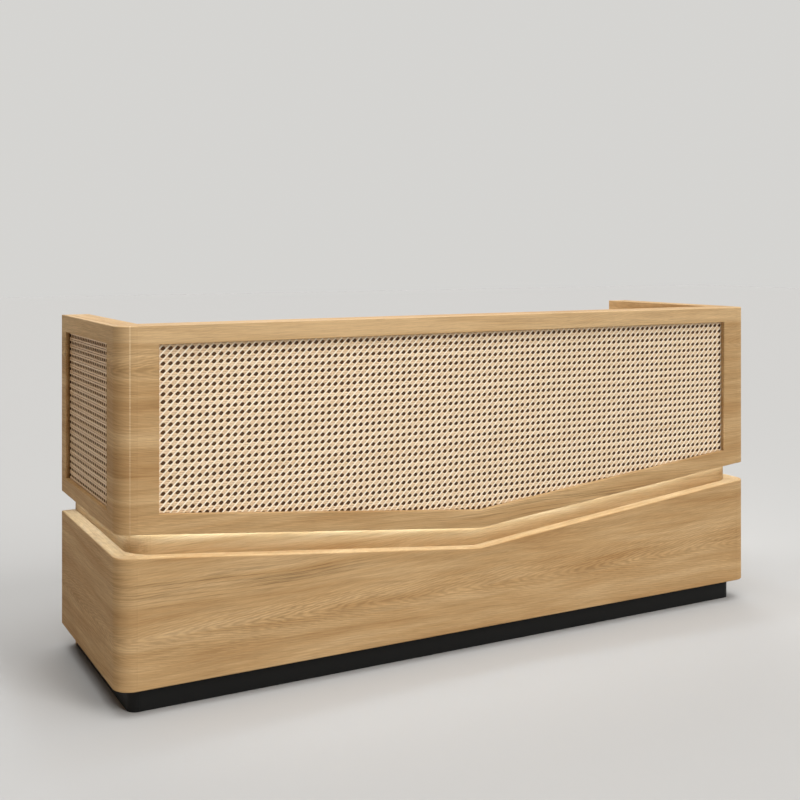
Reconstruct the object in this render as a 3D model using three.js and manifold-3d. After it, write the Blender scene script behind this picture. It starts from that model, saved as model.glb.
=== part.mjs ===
// Reception desk of oak-veneered boards: two casings round a core wall, parted by a lit V-shaped groove,
// with cane panels let into the upper casing, and a worktop, drawers and a cupboard on the staff side.
// Millimetres, +Z up, origin on the floor under the middle of the desk, front towards -Y.
import * as THREE from "three";
import { mergeVertices } from "three/addons/utils/BufferGeometryUtils.js";
import Module from "manifold-3d";

const wasm = await Module();
wasm.setup();

// Overall size
const WIDTH = 2400;
const DEPTH = 700;
const HEIGHT = 1100;

// Walls: face board, core and lining, all cut from one board thickness
const BOARD = 18;
const CASING_DEPTH = 45;
const FRONT_WALL = 118;
const SIDE_WALL = 90;
const SEAM = 0.3;

// Vertical corners
const CORNER_RADIUS = 56;
const BAND_RADIUS = 62;
const PLINTH_RADIUS = 30;

// Heights of the plinth and of the groove, which falls to a kink in mid-width
const PLINTH_HEIGHT = 75;
const UPPER_BOTTOM = 515;
const GROOVE_HEIGHT = 66;
const GROOVE_DROP = 112;

// Cane panels in the upper casing
const STILE = 120;
const REAR_STILE = 54;
const TOP_RAIL = 54;
const BOTTOM_RAIL = 59;
const SIDE_BOTTOM_RAIL = 50;
const CANE_RECESS = 15;
const CANE_REBATE = 10;
const CANE_PITCH = 21.8;
const CANE_FIRST_ROW = 12;
const CANE_HOLE_ROW = 9;
const CANE_RELIEF = 1.3;
const CANE_SLOPE = 2;
const BACKING = 6;
const BACKING_LAP = 22;

// Light strip in the underside of the upper casing, and its driver
const STRIP_WIDTH = 12;
const STRIP_HEIGHT = 8;
const STRIP_STANDOFF = 4;
const DRIVER_LENGTH = 180;
const DRIVER_DEPTH = 30;
const DRIVER_HEIGHT = 42;
const DRIVER_FROM_MIDDLE = 330;
const DRIVER_DROP = 12;
const INLET_WIDTH = 22;
const INLET_HEIGHT = 16;
const INLET_DEPTH = 14;

// Worktop with cable holes
const WORKTOP_HEIGHT = 760;
const WORKTOP_THICKNESS = 25;
const WORKTOP_OVERHANG = 6;
const GROMMET_BORE = 27;
const GROMMET_TUBE = 30;
const GROMMET_FLANGE = 36;
const GROMMET_LIP = 2;
const GROMMET_LENGTH = 24;
const GROMMET_SPACING = 900;
const GROMMET_FROM_WALL = 85;

// Drawer unit and cupboard under the worktop
const UNIT_WIDTH = 450;
const FACE_SETBACK = 20;
const FACE_GAP = 2;
const REVEAL = 3;
const TOE_SETBACK = 40;
const SHELF_HEIGHT = 400;
const SHELF_SETBACK = 12;

// Drawers, from the top down
const DRAWER_NAMES = ["top", "middle", "bottom"];
const UPPER_FRONT_HEIGHT = 160;
const DRAWER_BACK_GAP = 53.7;
const DRAWER_SIDE = 12;
const DRAWER_FLOOR = 6;
const DRAWER_SIDE_GAP = 2;
const BOX_ABOVE_FRONT_EDGE = 20;
const BOX_BELOW_FRONT_EDGE = 46;
const RUNNER_HEIGHT = 16;
const RUNNER_THICKNESS = 8;
const RUNNER_ABOVE_FLOOR = 32;
const RUNNER_PLAY = 0.4;
const GROOVE_PLAY = 1;

// Knobs and lock
const KNOB_LENGTH = 18;
const KNOB_HEAD = 13;
const KNOB_NECK = 6.5;
const KNOB_FOOT = 9;
const KNOB_FOOT_RIM = 1.5;
const KNOB_WAIST = 8;
const KNOB_RIM = 13.5;
const KNOB_FROM_DOOR_EDGE = 42;
const LOCK_BARREL = 9;
const LOCK_FLANGE = 12;
const LOCK_LIP = 2;
const LOCK_PLAY = 0.4;
const LOCK_DROP = 30;
const LOCK_FROM_SIDE = 60;
const CAM_LENGTH = 21;
const CAM_WIDTH = 9;
const CAM_THICKNESS = 2.5;
const CAM_CLEAR = 3;
const KEYHOLE_LENGTH = 9;
const KEYHOLE_WIDTH = 2;
const KEYHOLE_DEPTH = 6;
const KEEPER_WIDTH = 30;
const KEEPER_DROP = 20;
const KEEPER_SHEET = 1.5;
const KEEPER_FLANGE = 20;

// Door hinge, one long strip with a pin
const KNUCKLE_COUNT = 11;
const KNUCKLE_LENGTH = 52;
const KNUCKLE_GAP = 0.6;
const KNUCKLE_RADIUS = 4;
const KNUCKLE_BORE = 2.2;
const HINGE_PIN = 1.7;
const LEAF = 1.5;
const LEAF_WIDTH = 12;

// Facets of the round forms
const ARC_STEPS = 6;
const ROUND_SIDES = 24;
const KNUCKLE_SIDES = 12;
const KNOB_STEPS = 4;

// Planes that several pieces share
const X_OUT = WIDTH / 2;
const X_CORE = X_OUT - CASING_DEPTH;
const X_LINING = X_OUT - SIDE_WALL + BOARD;
const X_IN = X_OUT - SIDE_WALL;
const Y_FRONT = -DEPTH / 2;
const Y_BACK = DEPTH / 2;
const Y_LINING = Y_FRONT + FRONT_WALL - BOARD;
const Y_IN = Y_FRONT + FRONT_WALL;
const Y_FACE = Y_BACK - FACE_SETBACK;
const Y_CARCASS = Y_FACE - BOARD - FACE_GAP;
const LOWER_TOP = UPPER_BOTTOM - GROOVE_HEIGHT;
const X_SPLIT = X_OUT - CORNER_RADIUS;
const WORKTOP_UNDERSIDE = WORKTOP_HEIGHT - WORKTOP_THICKNESS;
const X_KNEE = X_IN - UNIT_WIDTH;
const X_UNIT = X_KNEE + BOARD;
const FAR = WIDTH + DEPTH + HEIGHT;

function finish(color, roughness, metalness = 0) {
  return new THREE.MeshStandardMaterial({ color, roughness, metalness });
}
const OAK = finish(0xb8966a, 0.5);
const PLINTH_BLACK = finish(0x141414, 0.45);
const CANE = finish(0xeed7b9, 0.6);
const DARK_BACKING = finish(0x3c2814, 0.9);
const OPAL = finish(0xfff0d0, 0.4);
const WHITE_PLASTIC = finish(0xe8e8e4, 0.5);
const BLACK_PLASTIC = finish(0x1c1c1c, 0.5);
const BIRCH = finish(0xdcc7a0, 0.55);
const STEEL = finish(0xb9bcc0, 0.35, 1);

const desk = new THREE.Group();

// Joining and cutting

function solidFrom(geometry) {
  geometry.deleteAttribute("normal");
  geometry.deleteAttribute("uv");
  const merged = mergeVertices(geometry);
  const vertProperties = new Float32Array(merged.attributes.position.array);
  const triVerts = new Uint32Array(merged.index.array);
  return new wasm.Manifold(new wasm.Mesh({ numProp: 3, vertProperties, triVerts }));
}

function geometryFrom(solid) {
  const mesh = solid.getMesh();
  const geometry = new THREE.BufferGeometry();
  geometry.setAttribute("position", new THREE.BufferAttribute(mesh.vertProperties, 3));
  geometry.setIndex(new THREE.BufferAttribute(mesh.triVerts, 1));
  geometry.computeVertexNormals();
  return geometry;
}

// Shapes drawn in plan, seen from the front or seen from the side, and carried straight through

const polygon = (points) => new THREE.Shape(points.map(([u, v]) => new THREE.Vector2(u, v)));

function extrusion(shape, depth, curveSegments = ARC_STEPS) {
  return new THREE.ExtrudeGeometry(shape, { depth, bevelEnabled: false, curveSegments });
}

const planPrism = (shape, z0, z1, steps) => solidFrom(extrusion(shape, z1 - z0, steps).translate(0, 0, z0));

function frontPrism(points, y0, y1) {
  return solidFrom(extrusion(polygon(points), y1 - y0).rotateX(Math.PI / 2).translate(0, y1, 0));
}

function sidePrism(points, x0, x1) {
  const turn = new THREE.Matrix4().makeBasis(
    new THREE.Vector3(0, 1, 0),
    new THREE.Vector3(0, 0, 1),
    new THREE.Vector3(1, 0, 0),
  );
  return solidFrom(extrusion(polygon(points), x1 - x0).applyMatrix4(turn).translate(x0, 0, 0));
}

function block([x0, x1], [y0, y1], [z0, z1]) {
  const middle = [(x0 + x1) / 2, (y0 + y1) / 2, (z0 + z1) / 2];
  return solidFrom(new THREE.BoxGeometry(x1 - x0, y1 - y0, z1 - z0).translate(...middle));
}

const rectangle = ([u0, u1], [v0, v1]) => [[u0, v0], [u1, v0], [u1, v1], [u0, v1]];

// Meshes

function add(parent, name, geometry, material) {
  const mesh = new THREE.Mesh(geometry, material);
  mesh.name = name;
  parent.add(mesh);
  return mesh;
}

function addBoard(parent, name, [x0, x1], [y0, y1], [z0, z1], material = OAK) {
  const mesh = add(parent, name, new THREE.BoxGeometry(x1 - x0, y1 - y0, z1 - z0), material);
  mesh.position.set((x0 + x1) / 2, (y0 + y1) / 2, (z0 + z1) / 2);
  return mesh;
}

// The same piece on the right-hand side and, mirrored, on the left
function addPair(parent, prefix, suffix, solid, material) {
  const geometry = geometryFrom(solid);
  add(parent, prefix + "right" + suffix, geometry, material);
  add(parent, prefix + "left" + suffix, geometry, material).scale.x = -1;
}

// Plan outline of the desk, set in from its outer faces, with round front corners and a straight back
function deskOutline(inset, radius, back = Y_BACK) {
  const x = X_OUT - inset;
  const y = Y_FRONT + inset;
  const r = Math.max(radius, 1);
  const shape = new THREE.Shape();
  shape.moveTo(x, back);
  shape.lineTo(-x, back);
  shape.absarc(r - x, y + r, r, Math.PI, 1.5 * Math.PI, false);
  shape.absarc(x - r, y + r, r, -0.5 * Math.PI, 0, false);
  return shape;
}

const outlinePrism = (inset, radius, back) => planPrism(deskOutline(inset, radius, back), -FAR, FAR);
const betweenX = (solid, x0, x1) => solid.intersect(block([x0, x1], [-FAR, FAR], [-FAR, FAR]));
const betweenZ = (solid, z0, z1) => solid.intersect(block([-FAR, FAR], [-FAR, FAR], [z0, z1]));

// The groove's line seen from the front: level past the corners, falling straight to the kink
const grooveLine = (level) => [
  [-FAR, level],
  [-X_SPLIT, level],
  [0, level - GROOVE_DROP],
  [X_SPLIT, level],
  [FAR, level],
];
const belowLine = (level) => frontPrism([...grooveLine(level), [FAR, -FAR], [-FAR, -FAR]], -FAR, FAR);
const aboveLine = (level) => frontPrism([...grooveLine(level), [FAR, FAR], [-FAR, FAR]], -FAR, FAR);
const grooveLevelAt = (level, x) => level - GROOVE_DROP * (1 - Math.min(Math.abs(x), X_SPLIT) / X_SPLIT);

// Plinth: black boards under the core, set back from the casing, and under the two staff-side units
const plinth = new THREE.Group();
desk.add(plinth);
const plinthRing = betweenZ(
  outlinePrism(CASING_DEPTH, PLINTH_RADIUS, Y_BACK - BOARD - SEAM).subtract(
    outlinePrism(CASING_DEPTH + BOARD, PLINTH_RADIUS - BOARD, FAR),
  ),
  0,
  PLINTH_HEIGHT,
);
const plinthCorner = X_CORE - PLINTH_RADIUS;
add(plinth, "plinth_front", geometryFrom(betweenX(plinthRing, -plinthCorner, plinthCorner)), PLINTH_BLACK);
addPair(plinth, "plinth_", "", betweenX(plinthRing, plinthCorner + SEAM, FAR), PLINTH_BLACK);
const toeBoard = block(
  [X_UNIT + SEAM, X_IN - SEAM],
  [Y_CARCASS - TOE_SETBACK - BOARD, Y_CARCASS - TOE_SETBACK],
  [0, PLINTH_HEIGHT],
);
addPair(plinth, "plinth_rear_", "", toeBoard, PLINTH_BLACK);

// Core: the upright wall that both casings are screwed to, and whose face shows in the groove
const core = new THREE.Group();
desk.add(core);
const coreRing = betweenZ(
  outlinePrism(CASING_DEPTH, BAND_RADIUS, Y_BACK - BOARD - SEAM).subtract(
    outlinePrism(CASING_DEPTH + BOARD, BAND_RADIUS - BOARD, FAR),
  ),
  PLINTH_HEIGHT + SEAM,
  HEIGHT - BOARD - SEAM,
);
const coreCorner = X_CORE - BAND_RADIUS;
add(core, "core_front", geometryFrom(betweenX(coreRing, -coreCorner, coreCorner)), OAK);
addPair(core, "core_", "", betweenX(coreRing, coreCorner + SEAM, FAR), OAK);

// Casings: face boards folded over into a ledge, a soffit or a foot, bent round the corners
const casingRing = outlinePrism(0, CORNER_RADIUS).subtract(
  outlinePrism(CASING_DEPTH - SEAM, BAND_RADIUS + SEAM, FAR),
);
const casingHollow = outlinePrism(BOARD, CORNER_RADIUS - BOARD, Y_BACK - BOARD);

const lowerCasing = new THREE.Group();
desk.add(lowerCasing);
const underLedge = casingHollow.intersect(belowLine(LOWER_TOP - BOARD));
const lowerHollow = betweenZ(underLedge, PLINTH_HEIGHT + BOARD, FAR);
const lowerBlock = betweenZ(casingRing.intersect(belowLine(LOWER_TOP)), PLINTH_HEIGHT, FAR);
const lowerShell = lowerBlock.subtract(lowerHollow);
add(lowerCasing, "lower_front_panel", geometryFrom(betweenX(lowerShell, -X_SPLIT, X_SPLIT)), OAK);
addPair(lowerCasing, "lower_", "_panel", betweenX(lowerShell, X_SPLIT + SEAM, FAR), OAK);

const upperCasing = new THREE.Group();
desk.add(upperCasing);

// Openings for the cane, grown outwards by the rebate or the lap of what lies behind them
const OPENING_TOP = HEIGHT - TOP_RAIL;
const X_OPENING = X_OUT - STILE;
function frontOpening(grow) {
  const x = X_OPENING + grow;
  const foot = BOTTOM_RAIL - grow;
  return [
    [-x, OPENING_TOP + grow],
    [-x, grooveLevelAt(UPPER_BOTTOM, x) + foot],
    [0, grooveLevelAt(UPPER_BOTTOM, 0) + foot],
    [x, grooveLevelAt(UPPER_BOTTOM, x) + foot],
    [x, OPENING_TOP + grow],
  ];
}
const SIDE_OPENING_BOTTOM = UPPER_BOTTOM + SIDE_BOTTOM_RAIL;
const sideOpening = (grow) =>
  rectangle(
    [Y_FRONT + STILE - grow, Y_BACK - REAR_STILE + grow],
    [SIDE_OPENING_BOTTOM - grow, OPENING_TOP + grow],
  );

// Slot for the light strip and the strip itself, both following the core's round corners and the groove
const STRIP_INSET = CASING_DEPTH - STRIP_STANDOFF - STRIP_WIDTH;
const STRIP_RADIUS = BAND_RADIUS + STRIP_STANDOFF + STRIP_WIDTH;
const Y_STRIP_END = Y_BACK - BOARD - STRIP_STANDOFF;
const stripRun = (play) =>
  outlinePrism(STRIP_INSET - play, STRIP_RADIUS + play, Y_STRIP_END + play)
    .subtract(outlinePrism(STRIP_INSET + STRIP_WIDTH + play, STRIP_RADIUS - STRIP_WIDTH - play, FAR))
    .subtract(aboveLine(UPPER_BOTTOM + STRIP_HEIGHT + play));

const upperHollow = casingHollow.intersect(aboveLine(UPPER_BOTTOM + BOARD));
const upperBlock = betweenZ(casingRing.intersect(aboveLine(UPPER_BOTTOM)), 0, HEIGHT);
const upperShell = upperBlock
  .subtract(upperHollow)
  .subtract(frontPrism(frontOpening(0), Y_FRONT - BOARD, Y_FRONT + BOARD + SEAM))
  .subtract(frontPrism(frontOpening(CANE_REBATE), Y_FRONT + CANE_RECESS, Y_FRONT + BOARD + SEAM))
  .subtract(stripRun(SEAM));
const upperFront = betweenX(upperShell, -X_SPLIT, X_SPLIT);
const upperRight = betweenX(upperShell, X_SPLIT + SEAM, FAR)
  .subtract(sidePrism(sideOpening(0), X_OUT - BOARD - SEAM, X_OUT + BOARD))
  .subtract(sidePrism(sideOpening(CANE_REBATE), X_OUT - BOARD - SEAM, X_OUT - CANE_RECESS));
add(upperCasing, "upper_front_panel", geometryFrom(upperFront), OAK);
addPair(upperCasing, "upper_", "_panel", upperRight, OAK);

// Cane webbing: a sheet whose woven rows stand proud of the rows of holes between them
const CANE_SHEET = BOARD - CANE_RECESS - SEAM;
function caneSection(face, inwards, bottom) {
  const back = face + inwards * CANE_SHEET;
  const valley = face + inwards * CANE_RELIEF;
  const top = OPENING_TOP + CANE_REBATE;
  const points = [[back, top], [face, top]];
  const rows = Math.floor((OPENING_TOP - CANE_FIRST_ROW - bottom) / CANE_PITCH);
  for (let row = 0; row <= rows; row++) {
    const z = OPENING_TOP - CANE_FIRST_ROW - row * CANE_PITCH;
    const half = CANE_HOLE_ROW / 2;
    points.push([face, z + half + CANE_SLOPE], [valley, z + half]);
    points.push([valley, z - half], [face, z - half - CANE_SLOPE]);
  }
  return [...points, [face, bottom - CANE_PITCH], [back, bottom - CANE_PITCH]];
}
const caneLap = CANE_REBATE - SEAM;
const lowestCane = UPPER_BOTTOM - GROOVE_DROP + BOTTOM_RAIL - CANE_REBATE;
const caneFront = sidePrism(
  caneSection(Y_FRONT + CANE_RECESS + SEAM, 1, lowestCane),
  -X_OUT,
  X_OUT,
).intersect(frontPrism(frontOpening(caneLap), -FAR, FAR));
const caneSide = frontPrism(
  caneSection(X_OUT - CANE_RECESS - SEAM, -1, SIDE_OPENING_BOTTOM - CANE_REBATE),
  Y_FRONT,
  Y_BACK,
).intersect(sidePrism(sideOpening(caneLap), -FAR, FAR));
add(upperCasing, "cane_front", geometryFrom(caneFront), CANE);
addPair(upperCasing, "cane_", "", caneSide, CANE);

// Backing boards, screwed on behind the cane
const Y_BACKING = Y_FRONT + BOARD + SEAM;
const X_BACKING = X_OUT - BOARD - SEAM;
const backingFront = frontPrism(frontOpening(BACKING_LAP), Y_BACKING, Y_BACKING + BACKING);
const backingSide = sidePrism(sideOpening(BACKING_LAP), X_BACKING - BACKING, X_BACKING);
add(upperCasing, "cane_backing_front", geometryFrom(backingFront), DARK_BACKING);
addPair(upperCasing, "cane_backing_", "", backingSide, DARK_BACKING);

// Light strip, flush with the soffit
const lightStrip = stripRun(0).intersect(aboveLine(UPPER_BOTTOM));
add(upperCasing, "led_strip", geometryFrom(lightStrip), OPAL);

// Top caps, let in between the face boards and the linings and lying on the core
const caps = new THREE.Group();
desk.add(caps);
const capRing = betweenZ(
  outlinePrism(BOARD + SEAM, CORNER_RADIUS - BOARD - SEAM, Y_BACK - BOARD - SEAM),
  HEIGHT - BOARD,
  HEIGHT,
);
const capFront = capRing.intersect(block([-FAR, FAR], [-FAR, Y_LINING - SEAM], [0, FAR]));
const capSide = capRing.intersect(block([X_LINING + SEAM, FAR], [Y_LINING, FAR], [0, FAR]));
add(caps, "top_cap_front", geometryFrom(capFront), OAK);
addPair(caps, "top_cap_", "", capSide, OAK);

// Linings: the staff-side faces of the walls, the side ones folded to close the wall's rear end
const linings = new THREE.Group();
desk.add(linings);
addBoard(linings, "lining_front", [SEAM - X_IN, X_IN - SEAM], [Y_LINING, Y_IN], [0, HEIGHT]);
const liningPlan = polygon([
  [X_IN, Y_LINING],
  [X_LINING, Y_LINING],
  [X_LINING, Y_BACK - BOARD],
  [X_CORE, Y_BACK - BOARD],
  [X_CORE, Y_BACK],
  [X_IN, Y_BACK],
]);
addPair(linings, "lining_", "", planPrism(liningPlan, 0, HEIGHT), OAK);

// Worktop with two cable holes, each lined by a flanged ring let in flush
const staffSide = new THREE.Group();
desk.add(staffSide);
const Y_GROMMET = Y_IN + GROMMET_FROM_WALL;
function cableHole(x) {
  const round = (radius, z0) =>
    planPrism(new THREE.Shape().absarc(x, Y_GROMMET, radius, 0, 2 * Math.PI), z0, FAR, ROUND_SIDES / 2);
  const flangeSeat = round(GROMMET_FLANGE + SEAM, WORKTOP_HEIGHT - GROMMET_LIP - SEAM);
  return round(GROMMET_TUBE + SEAM, -FAR).add(flangeSeat);
}
let worktop = block(
  [SEAM - X_IN, X_IN - SEAM],
  [Y_IN + SEAM, Y_FACE + WORKTOP_OVERHANG],
  [WORKTOP_UNDERSIDE, WORKTOP_HEIGHT],
);
const grommetProfile = [
  [GROMMET_BORE, -GROMMET_LENGTH],
  [GROMMET_TUBE, -GROMMET_LENGTH],
  [GROMMET_TUBE, -GROMMET_LIP],
  [GROMMET_FLANGE, -GROMMET_LIP],
  [GROMMET_FLANGE, 0],
  [GROMMET_BORE, 0],
  [GROMMET_BORE, -GROMMET_LENGTH],
].map(([r, z]) => new THREE.Vector2(r, z));
for (const [name, x] of [["left", -GROMMET_SPACING / 2], ["right", GROMMET_SPACING / 2]]) {
  worktop = worktop.subtract(cableHole(x));
  const ring = new THREE.LatheGeometry(grommetProfile, ROUND_SIDES).rotateX(Math.PI / 2);
  add(staffSide, "grommet_" + name, ring, BLACK_PLASTIC).position.set(x, Y_GROMMET, WORKTOP_HEIGHT);
}
add(staffSide, "worktop", geometryFrom(worktop), OAK);

// Light driver under the worktop, with a socket for its lead in one end
const driverTop = WORKTOP_UNDERSIDE - DRIVER_DROP;
const driverX = [DRIVER_FROM_MIDDLE, DRIVER_FROM_MIDDLE + DRIVER_LENGTH];
const driverY = [Y_IN + SEAM, Y_IN + SEAM + DRIVER_DEPTH];
const driverMiddle = [(driverY[0] + driverY[1]) / 2, driverTop - DRIVER_HEIGHT / 2];
const inlet = block(
  [driverX[1] - INLET_DEPTH, FAR],
  [driverMiddle[0] - INLET_WIDTH / 2, driverMiddle[0] + INLET_WIDTH / 2],
  [driverMiddle[1] - INLET_HEIGHT / 2, driverMiddle[1] + INLET_HEIGHT / 2],
);
const driver = block(driverX, driverY, [driverTop - DRIVER_HEIGHT, driverTop]).subtract(inlet);
add(staffSide, "led_driver", geometryFrom(driver), WHITE_PLASTIC);

// Carcass boards of the two units: a standing side on the knee side and a base on the plinth
const unitSide = block([X_KNEE, X_UNIT], [Y_IN + SEAM, Y_CARCASS], [0, WORKTOP_UNDERSIDE - SEAM]);
const unitBase = block(
  [X_UNIT + SEAM, X_IN - SEAM],
  [Y_IN + SEAM, Y_CARCASS],
  [PLINTH_HEIGHT + SEAM, PLINTH_HEIGHT + BOARD],
);
for (const [name, hand] of [["cupboard", 1], ["drawer_unit", -1]]) {
  add(staffSide, name + "_side", geometryFrom(unitSide), OAK).scale.x = hand;
  add(staffSide, name + "_base", geometryFrom(unitBase), OAK).scale.x = hand;
}
addBoard(
  staffSide,
  "cupboard_shelf",
  [X_UNIT + SEAM, X_IN - SEAM],
  [Y_IN + SEAM, Y_CARCASS - SHELF_SETBACK],
  [SHELF_HEIGHT, SHELF_HEIGHT + BOARD],
);

// Turned knob, its foot on the face it is screwed to and its axis along +Y
const knobProfile = new THREE.Path();
knobProfile.moveTo(0, 0);
knobProfile.lineTo(KNOB_FOOT, 0);
knobProfile.lineTo(KNOB_FOOT, KNOB_FOOT_RIM);
knobProfile.quadraticCurveTo(KNOB_NECK, KNOB_FOOT_RIM, KNOB_NECK, KNOB_WAIST);
knobProfile.quadraticCurveTo(KNOB_HEAD, KNOB_WAIST, KNOB_HEAD, KNOB_RIM);
knobProfile.quadraticCurveTo(KNOB_HEAD, KNOB_LENGTH, 0, KNOB_LENGTH);
const knob = () => new THREE.LatheGeometry(knobProfile.getPoints(KNOB_STEPS), ROUND_SIDES);

// Drawers on side-hung runner strips, the groove of each side riding on its strip
const FRONTS_TOP = WORKTOP_UNDERSIDE - REVEAL;
const FRONTS_BOTTOM = PLINTH_HEIGHT + REVEAL;
const frontsX = [REVEAL - X_IN, -X_KNEE];
const boxX = [-X_IN + DRAWER_SIDE_GAP, -X_UNIT - DRAWER_SIDE_GAP];
const boxY = [Y_IN + DRAWER_BACK_GAP, Y_FACE - BOARD - SEAM];
const runnerY = [boxY[0], Y_CARCASS - FACE_GAP];
const RUNNER_GROOVE = RUNNER_THICKNESS - DRAWER_SIDE_GAP + GROOVE_PLAY;
const lockX = -X_KNEE - LOCK_FROM_SIDE;
const lockZ = FRONTS_TOP - LOCK_DROP;

function drawerBox(z0, z1, runnerZ) {
  const inside = block(
    [boxX[0] + DRAWER_SIDE, boxX[1] - DRAWER_SIDE],
    [boxY[0] + DRAWER_SIDE, boxY[1] - DRAWER_SIDE],
    [z0 + DRAWER_FLOOR, FAR],
  );
  const grooveZ = [runnerZ - RUNNER_PLAY, runnerZ + RUNNER_HEIGHT + RUNNER_PLAY];
  const grooveY = [-FAR, runnerY[1] + RUNNER_PLAY];
  return block(boxX, boxY, [z0, z1])
    .subtract(inside)
    .subtract(block([boxX[0] - BOARD, boxX[0] + RUNNER_GROOVE], grooveY, grooveZ))
    .subtract(block([boxX[1] - RUNNER_GROOVE, boxX[1] + BOARD], grooveY, grooveZ));
}

const LOCK_BORE = LOCK_BARREL + LOCK_PLAY;
const lockHole = new THREE.CylinderGeometry(LOCK_BORE, LOCK_BORE, FAR, ROUND_SIDES);
let frontTop = FRONTS_TOP;
for (const name of DRAWER_NAMES) {
  const last = name === DRAWER_NAMES[DRAWER_NAMES.length - 1];
  const frontBottom = last ? FRONTS_BOTTOM : frontTop - UPPER_FRONT_HEIGHT;
  const drawer = new THREE.Group();
  staffSide.add(drawer);

  let front = block(frontsX, [Y_FACE - BOARD, Y_FACE], [frontBottom, frontTop]);
  if (name === "top") front = front.subtract(solidFrom(lockHole.clone().translate(lockX, 0, lockZ)));
  add(drawer, `drawer_${name}_front`, geometryFrom(front), OAK);

  const boxZ = [frontBottom + BOX_ABOVE_FRONT_EDGE, frontTop - BOX_BELOW_FRONT_EDGE];
  const runnerZ = boxZ[0] + RUNNER_ABOVE_FLOOR;
  add(drawer, `drawer_${name}_box`, geometryFrom(drawerBox(...boxZ, runnerZ)), BIRCH);

  const handle = add(drawer, `drawer_${name}_knob`, knob(), STEEL);
  handle.position.set((frontsX[0] + frontsX[1]) / 2, Y_FACE + SEAM, (frontBottom + frontTop) / 2);

  const runnerZs = [runnerZ, runnerZ + RUNNER_HEIGHT];
  const outer = [SEAM - X_IN, RUNNER_THICKNESS - X_IN];
  const inner = [-X_UNIT - RUNNER_THICKNESS, -X_UNIT - SEAM];
  addBoard(staffSide, `runner_${name}_left`, outer, runnerY, runnerZs, STEEL);
  addBoard(staffSide, `runner_${name}_right`, inner, runnerY, runnerZs, STEEL);
  frontTop = frontBottom - REVEAL;
}

// Lock of the top drawer: barrel with a flange, a keyhole and a cam that turns up behind its keeper
const camY = [Y_FACE - BOARD - CAM_CLEAR - CAM_THICKNESS, Y_FACE - BOARD - CAM_CLEAR];
const barrelProfile = [
  [0, camY[0] - Y_FACE],
  [LOCK_BARREL, camY[0] - Y_FACE],
  [LOCK_BARREL, SEAM],
  [LOCK_FLANGE, SEAM],
  [LOCK_FLANGE, LOCK_LIP + SEAM],
  [0, LOCK_LIP + SEAM],
].map(([r, y]) => new THREE.Vector2(r, y));
const cam = block([-CAM_LENGTH, 0], [camY[0] - Y_FACE, camY[1] - Y_FACE], [-CAM_WIDTH / 2, CAM_WIDTH / 2]);
const keyhole = block(
  [-KEYHOLE_LENGTH / 2, KEYHOLE_LENGTH / 2],
  [LOCK_LIP + SEAM - KEYHOLE_DEPTH, FAR],
  [-KEYHOLE_WIDTH / 2, KEYHOLE_WIDTH / 2],
);
const lock = solidFrom(new THREE.LatheGeometry(barrelProfile, ROUND_SIDES)).add(cam).subtract(keyhole);
add(staffSide, "drawer_lock", geometryFrom(lock), STEEL).position.set(lockX, Y_FACE, lockZ);

// Keeper: a steel angle under the worktop whose drop stands between the front and the raised cam
const keeperX = [lockX - KEEPER_WIDTH / 2, lockX + KEEPER_WIDTH / 2];
const keeperFace = Y_FACE - BOARD - (CAM_CLEAR - KEEPER_SHEET) / 2;
const keeperTop = WORKTOP_UNDERSIDE - SEAM;
const keeperDrop = block(
  keeperX,
  [keeperFace - KEEPER_SHEET, keeperFace],
  [keeperTop - KEEPER_DROP, keeperTop],
);
const keeperFlange = block(
  keeperX,
  [keeperFace - KEEPER_FLANGE, keeperFace],
  [keeperTop - KEEPER_SHEET, keeperTop],
);
add(staffSide, "lock_keeper", geometryFrom(keeperDrop.add(keeperFlange)), STEEL);

// Cupboard door on a long strip hinge: one leaf on the lining, one on the door's edge, one pin
const hingeX = X_IN - SEAM - KNUCKLE_RADIUS;
const doorEdge = hingeX - KNUCKLE_RADIUS - SEAM;
const doorZ = [FRONTS_BOTTOM, FRONTS_TOP];
const door = new THREE.Group();
staffSide.add(door);
addBoard(door, "cupboard_door", [X_KNEE, doorEdge], [Y_FACE - BOARD, Y_FACE], doorZ);
const doorKnob = add(door, "door_knob", knob(), STEEL);
doorKnob.position.set(X_KNEE + KNOB_FROM_DOOR_EDGE, Y_FACE + SEAM, (doorZ[0] + doorZ[1]) / 2);

const hinge = new THREE.Group();
const HINGE_LENGTH = KNUCKLE_COUNT * KNUCKLE_LENGTH;
hinge.position.set(hingeX, Y_FACE, (doorZ[0] + doorZ[1] - HINGE_LENGTH) / 2);
door.add(hinge);

function hingeLeaf(side, firstKnuckle) {
  const leafMiddle = side * (KNUCKLE_RADIUS - LEAF / 2);
  const leafX = [leafMiddle - LEAF / 2, leafMiddle + LEAF / 2];
  const clearOfKnuckles = -KNUCKLE_RADIUS - KNUCKLE_GAP;
  let leaf = block(leafX, [clearOfKnuckles - LEAF_WIDTH, clearOfKnuckles], [0, HINGE_LENGTH]);
  const bore = new THREE.Path().absarc(0, 0, KNUCKLE_BORE, 0, 2 * Math.PI);
  const eye = new THREE.Shape().absarc(0, 0, KNUCKLE_RADIUS, 0, 2 * Math.PI);
  eye.holes.push(bore);
  for (let k = firstKnuckle; k < KNUCKLE_COUNT; k += 2) {
    const z0 = k * KNUCKLE_LENGTH + KNUCKLE_GAP / 2;
    const z1 = (k + 1) * KNUCKLE_LENGTH - KNUCKLE_GAP / 2;
    const tab = block(leafX, [clearOfKnuckles - LEAF, 0], [z0, z1]);
    leaf = leaf.add(planPrism(eye, z0, z1, KNUCKLE_SIDES / 2)).add(tab);
  }
  return geometryFrom(leaf);
}
add(hinge, "hinge_frame_leaf", hingeLeaf(1, 0), STEEL);
add(hinge, "hinge_door_leaf", hingeLeaf(-1, 1), STEEL);
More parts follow.
